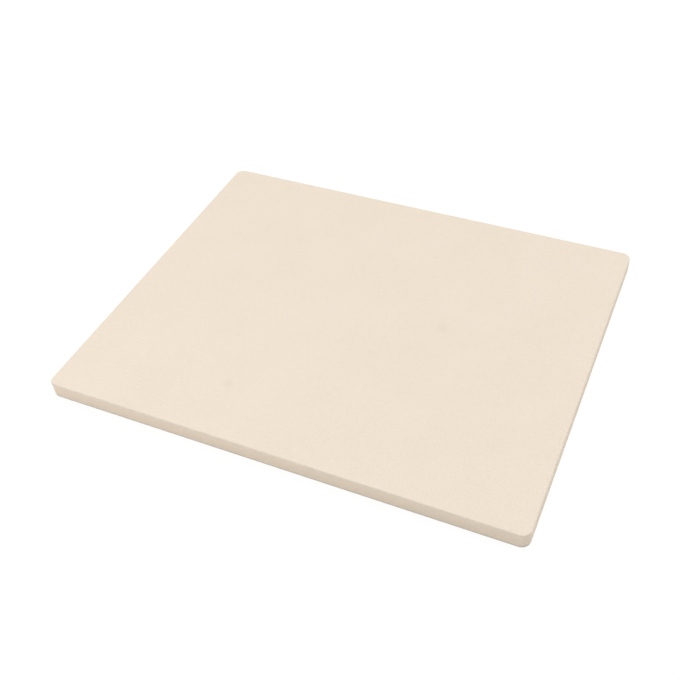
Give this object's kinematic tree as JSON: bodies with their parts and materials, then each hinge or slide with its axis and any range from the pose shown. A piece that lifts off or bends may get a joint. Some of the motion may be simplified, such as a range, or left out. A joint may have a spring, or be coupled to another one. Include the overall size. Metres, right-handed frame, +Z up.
{
  "type": "pizza stone",
  "caption": "Rectangular ceramic baking slab with rounded corners and softened edges, flat on both faces, for laying on an oven shelf.",
  "frame": {"origin": "centre of the underside, on the surface that the stone lies on", "axes": "+X along the long side, +Y across to the far side, +Z up through the slab to the baking face"},
  "size_m": [0.381, 0.3048, 0.0127],
  "materials": {
    "cordierite": "matte"
  },
  "bodies": {
    "root": {"stone_slab": "cordierite"}
  },
  "joints": []
}
